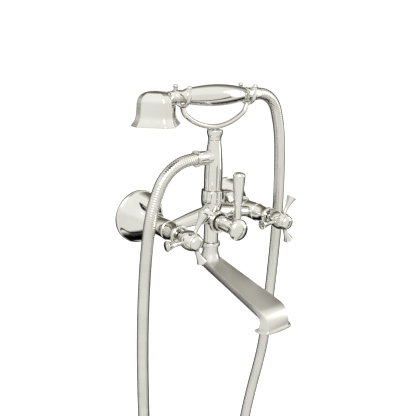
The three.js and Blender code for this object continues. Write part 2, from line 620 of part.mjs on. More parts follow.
node('handset_hose_washer', alongX(ring(4.2, HANDSET_THREAD,
  END_COLLAR_END + 6.5 + GAP, nutFloor - GAP), COARSE), 'rubber', handset);
node('handset_hose_nut', alongX([
  [HANDSET_THREAD + FIT, END_COLLAR_END + GAP], [HANDSET_NUT_RADIUS, END_COLLAR_END + GAP],
  [HANDSET_NUT_RADIUS, END_COLLAR_END + 3], [HANDSET_NUT_RADIUS - 0.9, HANDSET_NUT_END],
  [5, HANDSET_NUT_END], [5, nutFloor], [HANDSET_THREAD + FIT, nutFloor],
  [HANDSET_THREAD + FIT, END_COLLAR_END + GAP],
]), 'nickel', handset);

// Eight-sided ring of the head: four wide facets turned 45 degrees to the handle.
function octagon(scale, z) {
  const half = (HEAD_WIDE / 2 + HEAD_NARROW / Math.SQRT2) * scale;
  const flat = (HEAD_WIDE / 2) * scale;
  const corners = [
    [half, -flat], [half, flat], [flat, half], [-flat, half],
    [-half, flat], [-half, -flat], [-flat, -half], [flat, -half],
  ];
  return corners.map(([u, v]) => [(u - v) * Math.SQRT1_2, (u + v) * Math.SQRT1_2, z]);
}
const headHeight = HEAD_TOP - HEAD_RIM;
function headRings(inset) {
  const waist = (HEAD_WIDE / 2 + HEAD_NARROW / Math.SQRT2 - inset) / (HEAD_WIDE / 2 + HEAD_NARROW / Math.SQRT2);
  const rings = [octagon(HEAD_FLARE * waist, inset > 0 ? -1 : 0)];
  for (const [t, s] of [[0.04, 1.23], [0.13, 1.12], [0.28, 1.02], [0.5, 1], [0.7, 0.98]]) {
    rings.push(octagon(s * waist, headHeight * t));
  }
  const domeStart = 0.7;
  const steps = 4;
  for (let i = 1; i <= steps; i += 1) {
    const angle = (Math.PI / 2) * (i / steps);
    const size = i === steps ? 0.12 : Math.cos(angle) ** 0.8;
    rings.push(octagon(0.98 * waist * size,
      headHeight * domeStart + (headHeight * (1 - domeStart) - inset) * Math.sin(angle)));
  }
  return rings;
}
const plateZ = 1.2;
const head = new THREE.Group();
head.position.set(HEAD_CENTRE, -BODY_REACH, HEAD_RIM);
faucet.add(head);
const headNeckHole = alongX(rod(NECK_RADIUS - 1.5 + FIT, 15.5, 40), COARSE)
  .translate(0, 0, HANDSET_AXIS - HEAD_RIM);
node('handset_head', carve([loft(headRings(0))], [loft(headRings(HEAD_WALL)), headNeckHole]), 'nickel', head);
node('spray_plate', alongZ([
  [1.8, plateZ], [PLATE_RADIUS, plateZ], [PLATE_RADIUS, plateZ + PLATE_THICKNESS],
  [1.8, plateZ + PLATE_THICKNESS], [1.8, plateZ],
]), 'nickel', head);
node('spray_screw', alongZ([
  [0, plateZ - 2.6], [2.4, plateZ - 2.2], [3.4, plateZ - GAP], [1.5, plateZ - GAP], [1.5, plateZ + 7],
  [0, plateZ + 7],
], COARSE), 'nickel', head);
node('spray_seal', alongZ(ring(PLATE_RADIUS - 3, PLATE_RADIUS, plateZ + PLATE_THICKNESS + GAP,
  plateZ + PLATE_THICKNESS + GAP + 1.6), COARSE), 'rubber', head);

// ---------------------------------------------------------------- hose
// Route at the riser's distance from the wall, as [x, z]: away from the outlet nut in an
// even bend, down round the hanging loop, and up into the hand shower in a second bend.
const hoseBend = (start, side, radius, degrees) => [0, 1, 2, 3, 4].map((i) => {
  const angle = THREE.MathUtils.degToRad((degrees * i) / 4);
  return [start[0] + side * radius * Math.sin(angle), start[1] - radius * (1 - Math.cos(angle))];
});
const hoseSpread = INLET_SPACING / 2 - 75;       // keeps the hose outside the two valves
const hoseStart = [-hoseNutEnd - 0.7, OUTLET_HEIGHT];
const hoseEnd = [HANDSET_NUT_END + 0.5, HANDSET_AXIS];
const hoseRoute = [
  [hoseStart[0] + 0.2, hoseStart[1]], ...hoseBend([hoseStart[0] - 3, hoseStart[1]], -1, 56, 72),
  ...[[-95, 22], [-102, -25], [-106, -85], [-107.5, -155], [-106.5, -225], [-103.5, -305],
    [-96, -410], [-85, -473], [-66, -515], [-39, -540], [-8, -546], [22, -530], [46, -498], [62, -458],
    [72, -415], [79.5, -372], [87, -330], [96, -291], [105.5, -256], [113, -220], [117.5, -165],
    [122.2, -90], [124.3, -20], [122.5, 47], [118, 98], [114.4, 116], [110.2, 130.5],
  ].map(([x, z]) => [x + Math.sign(x) * hoseSpread, z]),
  ...hoseBend([hoseEnd[0] + 1, hoseEnd[1]], 1, 37, 62).reverse(), [hoseEnd[0] - 0.2, hoseEnd[1]],
];
node('shower_hose', closed(bar(hoseRoute.map(([x, z]) => [x, -BODY_REACH, z]),
  HOSE_DIAMETER / 2, 56)), 'nickel');

// ---------------------------------------------------------------- spout
// Sections of the blade: flat top, short upright sides and a narrower bottom. Round the nose the
// top face narrows to the front face, and its sides splay out to the full width behind it.
const bendStart = SPOUT_REACH - 21.8;
const bladeTop = (reach) => SPOUT_PLATE_TOP - SPOUT_SLOPE * (reach - BODY_REACH);
const outletBottom = bladeTop(bendStart) - NOSE_DROP;
function spoutRings(inset) {
  const rings = [];
  const section = (reach, height, tilt, halfWidth, thickness, splay = 0) => {
    const [w, t] = [halfWidth - inset, thickness - 2 * inset];
    const face = w * (1 - NOSE_NARROWING * splay);
    const side = -t * (0.55 + 0.25 * splay);
    const outline = [[-face, 0], [face, 0], [w, side], [w * 0.82, -t], [-w * 0.82, -t], [-w, side]];
    rings.push(outline.map(([x, d]) => [
      x, -(reach - Math.sin(tilt) * (d - inset)), height + Math.cos(tilt) * (d - inset),
    ]));
  };
  const slope = Math.atan(SPOUT_SLOPE);
  const straight = 4;
  const first = BODY_REACH - (inset > 0 ? 4 : 0);
  for (let i = 0; i <= straight; i += 1) {
    const t = i / straight;
    const reach = first + (bendStart - first) * t;
    const width = SPOUT_HALF_WIDTH + (20.5 - SPOUT_HALF_WIDTH) * t;
    section(reach, bladeTop(reach), -slope * Math.min(1, i), width, SPOUT_THICKNESS);
  }
  const bend = 5;
  const radius = NOSE_RADIUS;
  for (let i = 1; i <= bend; i += 1) {
    const angle = slope + (Math.PI / 2 - slope) * (i / bend);
    const reach = bendStart + radius * (Math.sin(angle) - Math.sin(slope));
    const height = bladeTop(bendStart) - radius * (Math.cos(slope) - Math.cos(angle));
    const width = 20.5 + (SPOUT_END_HALF_WIDTH - 20.5) * (i / bend);
    section(reach, height, -angle, width, SPOUT_THICKNESS, i / bend);
  }
  const end = outletBottom - (inset > 0 ? 1 : 0);
  section(bendStart + radius * (1 - Math.sin(slope)) + 1, end, -Math.PI / 2,
    SPOUT_END_HALF_WIDTH, SPOUT_THICKNESS, 1);
  return rings;
}

function outletLip() {
  const front = bendStart + NOSE_RADIUS * (1 - Math.sin(Math.atan(SPOUT_SLOPE))) + 1 + LIP_OVERHANG;
  const back = front - SPOUT_THICKNESS - 2 * LIP_OVERHANG;
  const w = SPOUT_END_HALF_WIDTH + LIP_OVERHANG;
  const outline = new THREE.Shape();
  const corner = w * (1 - NOSE_NARROWING) + 1;
  outline.moveTo(-w, -back);
  outline.lineTo(-w, -front + 9);
  outline.lineTo(-corner, -front + 1.5);
  outline.quadraticCurveTo(0, -front - 2, corner, -front + 1.5);
  outline.lineTo(w, -front + 9);
  outline.lineTo(w, -back);
  outline.closePath();
  return new THREE.ExtrudeGeometry(outline, { depth: LIP_HEIGHT, bevelEnabled: false, curveSegments: 8 })
    .translate(0, 0, outletBottom);
}

const spoutNutBottom = STEM_BOTTOM - GAP - SPOUT_NUT_HEIGHT;
const neckTop = spoutNutBottom - GAP;
const ringHeight = 2;
const ringZ = SPIGOT_BOTTOM + 6;
function spout() {
  const neck = alongZ([
    [0, SPOUT_PLATE_TOP - 12], [SPOUT_NECK_FLARE - 1.5, SPOUT_PLATE_TOP - 12],
    [SPOUT_NECK_FLARE, SPOUT_PLATE_TOP - 7], [SPOUT_NECK_FLARE, SPOUT_PLATE_TOP],
    [SPOUT_NECK + 0.7, SPOUT_PLATE_TOP + 6], [SPOUT_NECK, SPOUT_PLATE_TOP + 10], [SPOUT_NECK, neckTop],
    [0, neckTop],
  ]).translate(0, -BODY_REACH, 0);
  return carve([neck, loft(spoutRings(0)), outletLip()], [
    alongZ(rod(SPIGOT_RADIUS + FIT, SPIGOT_BOTTOM - 4, neckTop + 1)).translate(0, -BODY_REACH, 0),
    alongZ(rod(SPIGOT_RADIUS + FIT + 1, ringZ - 0.2, ringZ + ringHeight + 0.2)).translate(0, -BODY_REACH, 0),
    loft(spoutRings(2.2)),
  ]);
}
node('spout', spout(), 'nickel');
node('spout_nut', alongZ([
  [SPIGOT_RADIUS + FIT, spoutNutBottom], [SPOUT_NUT_RADIUS - 0.8, spoutNutBottom],
  [SPOUT_NUT_RADIUS, spoutNutBottom + 0.8], [SPOUT_NUT_RADIUS, STEM_BOTTOM - GAP - 0.8],
  [SPOUT_NUT_RADIUS - 0.8, STEM_BOTTOM - GAP], [SPIGOT_RADIUS + FIT, STEM_BOTTOM - GAP],
  [SPIGOT_RADIUS + FIT, spoutNutBottom],
]).translate(0, -BODY_REACH, 0), 'nickel');
node('spout_o_ring', alongZ(ring(SPIGOT_RADIUS + FIT, SPIGOT_RADIUS + FIT + 0.8, ringZ, ringZ + ringHeight))
  .translate(0, -BODY_REACH, 0), 'rubber');

export default faucet;
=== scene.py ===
"""Looks of the wall mounted bath faucet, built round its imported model. Metres, +Z up, the wall
at y = 0, the faucet towards -Y, and the origin midway between the two inlets."""
import json
import math

import bmesh
import bpy
import numpy as np
from mathutils import Matrix, Vector


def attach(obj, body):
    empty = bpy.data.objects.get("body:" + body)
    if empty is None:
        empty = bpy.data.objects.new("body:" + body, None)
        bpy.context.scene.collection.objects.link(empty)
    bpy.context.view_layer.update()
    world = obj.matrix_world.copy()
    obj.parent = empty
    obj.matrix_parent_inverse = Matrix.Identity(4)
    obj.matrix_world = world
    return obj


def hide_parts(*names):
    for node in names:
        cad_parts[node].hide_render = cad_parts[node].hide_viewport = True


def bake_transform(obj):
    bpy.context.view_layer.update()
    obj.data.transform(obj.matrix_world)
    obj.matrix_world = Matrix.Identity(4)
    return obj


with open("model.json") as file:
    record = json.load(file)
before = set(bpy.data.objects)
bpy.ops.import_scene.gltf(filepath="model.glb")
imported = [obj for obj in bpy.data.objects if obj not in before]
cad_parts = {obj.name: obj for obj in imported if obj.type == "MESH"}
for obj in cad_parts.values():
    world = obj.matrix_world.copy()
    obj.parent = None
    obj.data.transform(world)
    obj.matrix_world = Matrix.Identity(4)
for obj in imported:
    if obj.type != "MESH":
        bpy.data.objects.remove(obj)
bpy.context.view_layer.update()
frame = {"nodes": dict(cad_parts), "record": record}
MM = 0.001
REACH = 62.8                 # mm from the wall to the bridge and riser axis
VALVE_X = 75.0               # mm from the middle to each inlet and valve axis
SIDES = (("left", -VALVE_X), ("right", VALVE_X))
ROOT = "faucet_root"
SPOUT = "spout_body"
DIVERTER = "diverter_body"
HANDSET = "hand_shower_body"


# ------------------------------------------------------------------ camera
CAMERA_ANGLES = (-38.66, 16.50, 2.08)        # azimuth, elevation and roll in degrees
CAMERA_TARGET = (11.39, -40.0, 7.58)
CAMERA_DISTANCE = 787.2
SENSOR_WIDTH = 36.0
FOCAL_IN_WIDTHS = 571.4 / 416                # focal length as a share of the picture's width


def place_camera():
    azimuth, elevation, roll = (math.radians(a) for a in CAMERA_ANGLES)
    target = Vector(CAMERA_TARGET) * MM
    back = Vector((math.sin(azimuth) * math.cos(elevation),
                   -math.cos(azimuth) * math.cos(elevation), math.sin(elevation)))
    level = Vector((0, 0, 1)).cross(back).normalized()
    upright = back.cross(level)
    right = level * math.cos(roll) + upright * math.sin(roll)
    up = upright * math.cos(roll) - level * math.sin(roll)
    data = bpy.data.cameras.new("camera")
    data.sensor_width = SENSOR_WIDTH
    data.lens = SENSOR_WIDTH * FOCAL_IN_WIDTHS
    camera = bpy.data.objects.new("camera", data)
    turn = Matrix((right, up, back)).transposed().to_4x4()
    camera.matrix_world = Matrix.Translation(target + back * CAMERA_DISTANCE * MM) @ turn
    bpy.context.scene.collection.objects.link(camera)
    bpy.context.scene.camera = camera


place_camera()


# ------------------------------------------------------------------ materials
def nodes_of(name):
    material = bpy.data.materials.new(name)
    material.use_nodes = True
    tree = material.node_tree
    return material, tree, tree.nodes["Principled BSDF"]


def noise(tree, scale, detail=3.0, seed=0.0):
    coords = tree.nodes.new("ShaderNodeTexCoord")
    shift = tree.nodes.new("ShaderNodeMapping")
    shift.inputs["Location"].default_value = (seed, seed * 0.7, seed * 1.3)
    texture = tree.nodes.new("ShaderNodeTexNoise")
    texture.inputs["Scale"].default_value = scale
    texture.inputs["Detail"].default_value = detail
    tree.links.new(coords.outputs["Object"], shift.inputs["Vector"])
    tree.links.new(shift.outputs["Vector"], texture.inputs["Vector"])
    return texture.outputs["Fac"]


def ramp(tree, value, *stops):
    node = tree.nodes.new("ShaderNodeValToRGB")
    ends = node.color_ramp.elements
    while len(ends) < len(stops):
        ends.new(0.5)
    for end, (place, colour) in zip(ends, stops):
        end.position = place
        end.color = (*colour, 1.0)
    tree.links.new(value, node.inputs["Fac"])
    return node.outputs["Color"]


def spread(tree, value, low, high, start=0.3, end=0.7):
    node = tree.nodes.new("ShaderNodeMapRange")
    node.inputs["From Min"].default_value = start
    node.inputs["From Max"].default_value = end
    node.inputs["To Min"].default_value = low
    node.inputs["To Max"].default_value = high
    tree.links.new(value, node.inputs["Value"])
    return node.outputs["Result"]


def bump(tree, shader, height, strength, distance):
    node = tree.nodes.new("ShaderNodeBump")
    node.inputs["Strength"].default_value = strength
    node.inputs["Distance"].default_value = distance
    tree.links.new(height, node.inputs["Height"])
    tree.links.new(node.outputs["Normal"], shader.inputs["Normal"])


def finish_material(name, metallic, dark, light, rough, grain, depth):
    """A procedural finish: two close tones, uneven gloss and a fine surface grain."""
    material, tree, shader = nodes_of(name)
    shader.inputs["Metallic"].default_value = metallic
    tone = ramp(tree, noise(tree, 22, 4, 3.1), (0.32, dark), (0.68, light))
    tree.links.new(tone, shader.inputs["Base Color"])
    gloss = spread(tree, noise(tree, 55, 5, 1.7), *rough)
    tree.links.new(gloss, shader.inputs["Roughness"])
    bump(tree, shader, noise(tree, grain, 2, 0.4), 0.25, depth)
    return material


NICKEL = finish_material("polished_nickel", 1.0, (0.735, 0.725, 0.69), (0.80, 0.792, 0.76),
                         (0.045, 0.10), 260, 0.00001)
NICKEL_SOFT = finish_material("soft_nickel", 1.0, (0.735, 0.725, 0.69), (0.80, 0.792, 0.76),
                              (0.30, 0.32), 260, 0.000004)
NICKEL_SATIN = finish_material("hose_metal", 1.0, (0.67, 0.66, 0.625), (0.76, 0.75, 0.715),
                               (0.08, 0.15), 700, 0.00002)
BRASS = finish_material("machined_brass", 1.0, (0.56, 0.40, 0.17), (0.70, 0.53, 0.25),
                        (0.22, 0.38), 1500, 0.00003)
RUBBER = finish_material("moulded_rubber", 0.0, (0.014, 0.014, 0.015), (0.030, 0.030, 0.031),
                         (0.55, 0.8), 2200, 0.00008)
CERAMIC = finish_material("sintered_ceramic", 0.0, (0.74, 0.72, 0.67), (0.83, 0.81, 0.77),
                          (0.25, 0.45), 1800, 0.00003)
SLOTS = {"nickel": NICKEL, "brass": BRASS, "rubber": RUBBER, "ceramic": CERAMIC}


# ------------------------------------------------------------------ mesh helpers
def make(name, verts, faces, material=NICKEL, sharp=32):
    """A mesh object from points in millimetres, outward faces, smooth but for real corners."""
    mesh = bpy.data.meshes.new(name)
    mesh.from_pydata([tuple(c * MM for c in v) for v in verts], [], faces)
    built = bmesh.new()
    built.from_mesh(mesh)
    bmesh.ops.remove_doubles(built, verts=built.verts, dist=1e-7)
    bmesh.ops.recalc_face_normals(built, faces=built.faces)
    built.to_mesh(mesh)
    built.free()
    shade(mesh, sharp)
    mesh.materials.append(material)
    obj = bpy.data.objects.new(name, mesh)
    bpy.context.scene.collection.objects.link(obj)
    return obj


def shade(mesh, sharp):
    mesh.shade_smooth()
    mesh.set_sharp_from_angle(angle=math.radians(sharp))


def stand_for(obj, body, *nodes):
    """Puts a nickel piece on its body, in place of the CAD nodes that it details."""
    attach(obj, body)
    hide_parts(*nodes)


def revolve(name, profile, axis, centre, closed, segments=96):
    """Turns a profile of (radius, place along the axis) round an axis through centre."""
    along = "XYZ".index(axis)
    first, second = ((1, 2), (2, 0), (0, 1))[along]
    verts, rows = [], []
    for radius, place in profile:
        count = 1 if radius < 1e-5 else segments
        rows.append([len(verts) + i % count for i in range(segments)])
        for i in range(count):
            turn = 2 * math.pi * i / segments
            point = [0.0, 0.0, 0.0]
            point[along] = place
            point[first] = centre[first] + radius * math.cos(turn)
            point[second] = centre[second] + radius * math.sin(turn)
            verts.append(point)
    faces = []
    pairs = list(zip(rows, rows[1:] + rows[:1])) if closed else list(zip(rows, rows[1:]))
    for low, high in pairs:
        for i in range(segments):
            j = (i + 1) % segments
            corner = [low[i], low[j], high[j], high[i]]
            face = [c for k, c in enumerate(corner) if c not in corner[:k]]
            if len(face) > 2:
                faces.append(face)
    return make(name, verts, faces)


def outline_of(node, axis, centre):
    """A turned CAD node's outline as (radius, place along the axis) in mm, and if it closes."""
    mesh = frame["nodes"][node].data
    along = "XYZ".index(axis)
    first, second = ((1, 2), (2, 0), (0, 1))[along]
    points = np.array([v.co for v in mesh.vertices]) / MM
    u, w = points[:, first] - centre[first], points[:, second] - centre[second]
    radius = np.hypot(u, w)
    turn = np.arctan2(w, u)
    away = np.abs(np.angle(np.exp(1j * (turn - turn[np.argmax(radius)]))))
    keep = (radius < 1e-3) | (away < 2e-3)
    key = [(round(float(r), 3), round(float(a), 3)) if r > 1e-3 else (0.0, round(float(a), 3))
           for r, a in zip(radius, points[:, along])]
    links = {}
    for edge in mesh.edges:
        a, b = edge.vertices
        if keep[a] and keep[b] and key[a] != key[b]:
            links.setdefault(key[a], set()).add(key[b])
            links.setdefault(key[b], set()).add(key[a])
    ends = [k for k in links if k[0] == 0.0]
    start = ends[0] if ends else max(links)
    chain, last = [start], None
    while True:
        nxt = [k for k in sorted(links[chain[-1]]) if k != last and k not in chain[1:]]
        nxt = [k for k in nxt if k != start or len(chain) > 2]
        if not nxt or nxt[0] == start:
            break
        last = chain[-1]
        chain.append(nxt[0])
    return chain, not ends


def soften(points, closed, edge=0.45, corner=34, steps=5):
    """Rounds true corners by a small radius and curves the runs between them."""
    count = len(points)
    p = [np.array(q, float) for q in points]

    def unit(a, b):
        d = b - a
        return d / max(np.linalg.norm(d), 1e-9)

    sharp, tangent = [], []
    for i in range(count):
        if not closed and i in (0, count - 1):
            sharp.append(True)
            tangent.append(None)
            continue
        a, b, c = p[i - 1], p[i], p[(i + 1) % count]
        turn = math.degrees(math.acos(max(-1, min(1, float(unit(a, b) @ unit(b, c))))))
        sharp.append(turn > corner)
        la, lc = np.linalg.norm(b - a), np.linalg.norm(c - b)
        tangent.append(unit(np.zeros(2), unit(a, b) * lc + unit(b, c) * la))
    out = []
    last = count if closed else count - 1
    for i in range(last):
        j = (i + 1) % count
        a, b = p[i], p[j]
        length = np.linalg.norm(b - a)
        line = unit(a, b)
        ta = line if sharp[i] else tangent[i]
        tb = line if sharp[j] else tangent[j]
        trim_a = min(edge, 0.42 * length) / length if sharp[i] and (closed or i) else 0.0
        ends = closed or j < count - 1
        trim_b = min(edge, 0.42 * length) / length if sharp[j] and ends else 0.0
        straight = sharp[i] and sharp[j]
        inner = [0, 1] if straight else [k / steps for k in range(steps + 1)]
        piece = []
        for k in inner:
            t = trim_a + (1 - trim_a - trim_b) * k
            h = (2 * t**3 - 3 * t**2 + 1, t**3 - 2 * t**2 + t, 3 * t**2 - 2 * t**3, t**3 - t**2)
            piece.append(h[0] * a + h[1] * length * ta + h[2] * b + h[3] * length * tb)
        if sharp[i] and (closed or i) and out:
            before = out[-1]
            for k in (0.25, 0.5, 0.75):
                out.append((1 - k)**2 * before + 2 * k * (1 - k) * a + k * k * piece[0])
        if out and np.linalg.norm(out[-1] - piece[0]) < 1e-6:
            piece = piece[1:]
        out.extend(piece)
    if closed and sharp[0]:
        k = 0.25
        out.append((1 - k)**2 * out[-1] + 2 * k * (1 - k) * p[0] + k * k * out[0])
    if closed and np.linalg.norm(out[-1] - out[0]) < 1e-6:
        out = out[:-1]
    return [(max(0.0, float(r)), float(a)) for r, a in out]


def turned(node, axis, centre, body, edge=0.45, segments=96):
    """A finely turned piece with the outline of the CAD node that it stands for."""
    chain, closed = outline_of(node, axis, centre)
    profile = soften(chain, closed, edge)
    stand_for(revolve(node + "_skin", profile, axis, centre, closed, segments), body, node)


def sweep(name, points, radii, sides=24, material=NICKEL, sharp=60):
    """A closed round tube through points, with a radius at each."""
    p = [Vector(q) for q in points]
    tangents = [(p[min(i + 1, len(p) - 1)] - p[max(i - 1, 0)]).normalized() for i in range(len(p))]
    side = tangents[0].orthogonal().normalized()
    verts, faces = [], []
    for i, (point, tangent) in enumerate(zip(p, tangents)):
        side = (side - tangent * side.dot(tangent)).normalized()
        other = tangent.cross(side)
        for k in range(sides):
            turn = 2 * math.pi * k / sides
            verts.append(point + (side * math.cos(turn) + other * math.sin(turn)) * radii[i])
    for i in range(len(p) - 1):
        for k in range(sides):
            j = (k + 1) % sides
            faces.append([i * sides + k, i * sides + j, (i + 1) * sides + j, (i + 1) * sides + k])
    faces.append(list(range(sides)))
    faces.append(list(range((len(p) - 1) * sides, len(p) * sides)))
    return make(name, verts, faces, material, sharp)


def loft(name, rings, material=NICKEL):
    """A closed solid through rings of equal count, with a flat end at each side."""
    count = len(rings[0])
    verts = [v for ring in rings for v in ring]
    faces = [[r * count + i, r * count + (i + 1) % count,
              (r + 1) * count + (i + 1) % count, (r + 1) * count + i]
             for r in range(len(rings) - 1) for i in range(count)]
    faces.append(list(range(count)))
    faces.append(list(range((len(rings) - 1) * count, len(rings) * count)))
    return make(name, verts, faces, material)


def combine(base, others, cut, sharp=30):
    """One solid from overlapping ones, less the cutters."""
    for kind, tools in (("UNION", others), ("DIFFERENCE", cut)):
        for tool in tools:
            step = base.modifiers.new("join", "BOOLEAN")
            step.operation = kind
            step.solver = "EXACT"
            step.object = tool
    bpy.context.view_layer.update()
    graph = bpy.context.evaluated_depsgraph_get()
    mesh = bpy.data.meshes.new_from_object(base.evaluated_get(graph))
    base.modifiers.clear()
    base.data = mesh
    shade(mesh, sharp)
    for tool in (*others, *cut):
        bpy.data.objects.remove(tool)


def curve_through(points, steps):
    """Centripetal Catmull-Rom samples through the given points."""
    p = [Vector(q) for q in points]
    p = [p[0] * 2 - p[1], *p, p[-1] * 2 - p[-2]]
    out = []
    for i in range(1, len(p) - 2):
        t = [0.0]
        for k in range(3):
            t.append(t[-1] + (p[i + k] - p[i + k - 1]).length ** 0.5)
        for s in range(steps):
            x = t[1] + (t[2] - t[1]) * s / steps
            a = [p[i + k - 1] * ((t[k + 1] - x) / (t[k + 1] - t[k]))
                 + p[i + k] * ((x - t[k]) / (t[k + 1] - t[k])) for k in range(3)]
            b = [a[k] * ((t[k + 2] - x) / (t[k + 2] - t[k]))
                 + a[k + 1] * ((x - t[k]) / (t[k + 2] - t[k])) for k in range(2)]
            out.append(b[0] * ((t[2] - x) / (t[2] - t[1])) + b[1] * ((x - t[1]) / (t[2] - t[1])))
    out.append(p[-2].copy())
    return out


# ------------------------------------------------------------------ hose
HOSE_DIAMETER = 16.0
OUTLET = (-31.0, 84.5)       # where the hose leaves its outlet nut, x and z
HANDLE = (71.5, 163.3)       # where it enters the hand shower's nut


def bend(start, side, radius, degrees):
    """Five points of an arc that leaves start level, to one side, and turns down."""
    return [(start[0] + side * radius * math.sin(math.radians(degrees * i / 4)),
             start[1] - radius * (1 - math.cos(math.radians(degrees * i / 4))))
            for i in range(5)]


HOSE_ROUTE = [
    (OUTLET[0] + 0.2, OUTLET[1]), *bend((OUTLET[0] - 3, OUTLET[1]), -1, 56, 72),
    (-95, 22), (-102, -25), (-106, -85), (-107.5, -155), (-106.5, -225), (-103.5, -305),
    (-96, -410), (-85, -473), (-66, -515), (-39, -540), (-8, -546), (22, -530), (46, -498),
    (62, -458), (72, -415), (79.5, -372), (87, -330), (96, -291), (105.5, -256), (113, -220),
    (117.5, -165), (122.2, -90), (124.3, -20), (122.5, 47), (118, 98), (114.4, 116),
    (110.2, 130.5),
    *reversed(bend((HANDLE[0] + 1, HANDLE[1]), 1, 37, 62)), (HANDLE[0] - 0.2, HANDLE[1]),
]


def build_hose():
    """A spiral-wound metal hose: rounded ribs at an even pitch along the route."""
    route = curve_through([(x, -REACH, z) for x, z in HOSE_ROUTE], 24)
    lengths = [0.0]
    for a, b in zip(route, route[1:]):
        lengths.append(lengths[-1] + (b - a).length)
    pitch, samples, groove_depth = 3.0, 6, 0.3
    count = int(lengths[-1] / pitch) * samples
    xs, zs = ([q[k] for q in route] for k in (0, 2))
    places = np.linspace(0, lengths[-1], count + 1)
    line = [(x, -REACH, z) for x, z in zip(np.interp(places, lengths, xs),
                                           np.interp(places, lengths, zs))]
    outer = HOSE_DIAMETER / 2
    radii = []
    for i, s in enumerate(places):
        groove = (1 - abs(math.sin(math.pi * s / pitch))) ** 2
        radii.append(outer - 0.05 - groove_depth * groove)
    hose = sweep("shower_hose_skin", line, radii, 22, NICKEL_SATIN, 75)
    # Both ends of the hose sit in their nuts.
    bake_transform(hose)
    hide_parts("shower_hose")


build_hose()


# ------------------------------------------------------------------ turned pieces
for side, x in SIDES:
    centre = (x, 0, 0)
    turned(f"{side}_escutcheon", "Y", centre, ROOT, 0.8, 128)
    turned(f"{side}_union_nut", "Y", centre, ROOT)
    turned(f"{side}_valve_bonnet", "Y", centre, ROOT, 0.5)
    turned(f"{side}_handle_cap", "Y", centre, f"{side}_handle_body")
riser = (0, -REACH, 0)
outlet_axis = (0, -REACH, OUTLET[1])
handset_axis = (0, -REACH, HANDLE[1])
head_axis = (-89.5, -REACH, 0)
turned("diverter_bonnet", "Y", (0, 0, 0), ROOT, 0.5)
turned("cradle_cup", "Z", riser, ROOT)
turned("spout_nut", "Z", riser, ROOT, 0.6)
turned("outlet_hose_nut", "X", outlet_axis, ROOT)
for node in ("handset_grip", "handset_neck", "handset_end_collar", "handset_hose_nut"):
    turned(node, "X", handset_axis, HANDSET)
turned("spray_plate", "Z", head_axis, HANDSET)
turned("spray_screw", "Z", head_axis, HANDSET, 0.3, 48)


# ------------------------------------------------------------------ cast and shaped pieces
def solid(profile, axis, centre, edge=0.5, segments=96, name="tool"):
    """A turned solid whose outline starts and ends on the axis."""
    return revolve(name, soften(profile, False, edge), axis, centre, False, segments)


def rod(radius, start, end, axis, centre, segments=64):
    return revolve("tool", [(0, start), (radius, start), (radius, end), (0, end)],
                   axis, centre, False, segments)


def smooth(t):
    return t * t * (3 - 2 * t)


def build_body():
    """The bridge: stem, riser socket, two valve barrels, their arms and the diverter's seat."""
    stem = [(0, -52), (8.4, -52), (8.4, -31), (10.2, -31), (10.2, -6), (10.6, 3), (12.6, 14),
            (15.1, 23), (15.1, 40.5), (0, 40.5)]
    body = solid(stem, "Z", riser, name="mixer_body_skin")
    parts = []
    seat = [(0, -62.8), (11, -62.8), (11, -73.5), (12.2, -75.4), (15, -76.8), (15, -81), (0, -81)]
    parts.append(solid(seat, "Y", (0, 0, 0)))
    cuts = [rod(10.3, 28, 42, "Z", riser), rod(8, -65.8, -82, "Y", (0, 0, 0)),
            rod(5.2, -53, 29, "Z", riser)]
    for _, x in SIDES:
        barrel = [(0, -45), (9.9, -45), (9.9, -48), (7.8, -48), (7.8, -51.6), (12.3, -51.6),
                  (12.3, -70), (0, -70)]
        parts.append(solid(barrel, "Y", (x, 0, 0)))
        line, radii = [], []
        for i in range(25):
            t = i / 24
            line.append((x * 0.9 * t, -REACH, 8 * (1 - t) + 1.2 * math.sin(math.pi * t)))
            radii.append(12 - 4.8 * smooth(t))
        parts.append(sweep("tool", line, radii, 48))
        cuts += [rod(9, -55.7, -71, "Y", (x, 0, 0)), rod(5.5, -44, -56, "Y", (x, 0, 0))]
    combine(body, parts, cuts)
    stand_for(body, ROOT, "mixer_body")


def build_handle(side, x):
    """Hub and three trumpet-ended spokes round the valve axis."""
    axis = (x, 0, 0)
    hub = solid([(0, -100), (7.2, -100), (7.5, -103), (10.6, -107.5), (12, -113), (12, -120),
                 (11, -125), (9.4, -129), (0, -129)], "Y", axis, name=f"{side}_handle_skin")
    spokes = []
    for degrees in (180, 60, -60):
        profile = [(0, 5.0), (2.5, 5.0), (2.5, 12)]
        for i in range(1, 9):
            t = i / 8
            profile.append((2.5 + 4.2 * t ** 2.3, 12 + 22.6 * t))
        profile += [(6.1, 35.1), (3.7, 35.6), (0, 36)]
        spoke = solid(profile, "X", (0, 0, 0), 0.5, 48)
        turn = Matrix.Rotation(-math.radians(degrees), 4, "Y")
        spoke.data.transform(Matrix.Translation((x * MM, -0.118, 0)) @ turn)
        spokes.append(spoke)
    cuts = [rod(3.7, -99, -113.3, "Y", axis), rod(7.7, -121, -130, "Y", axis)]
    combine(hub, spokes, cuts)
    stand_for(hub, f"{side}_handle_body", f"{side}_handle")


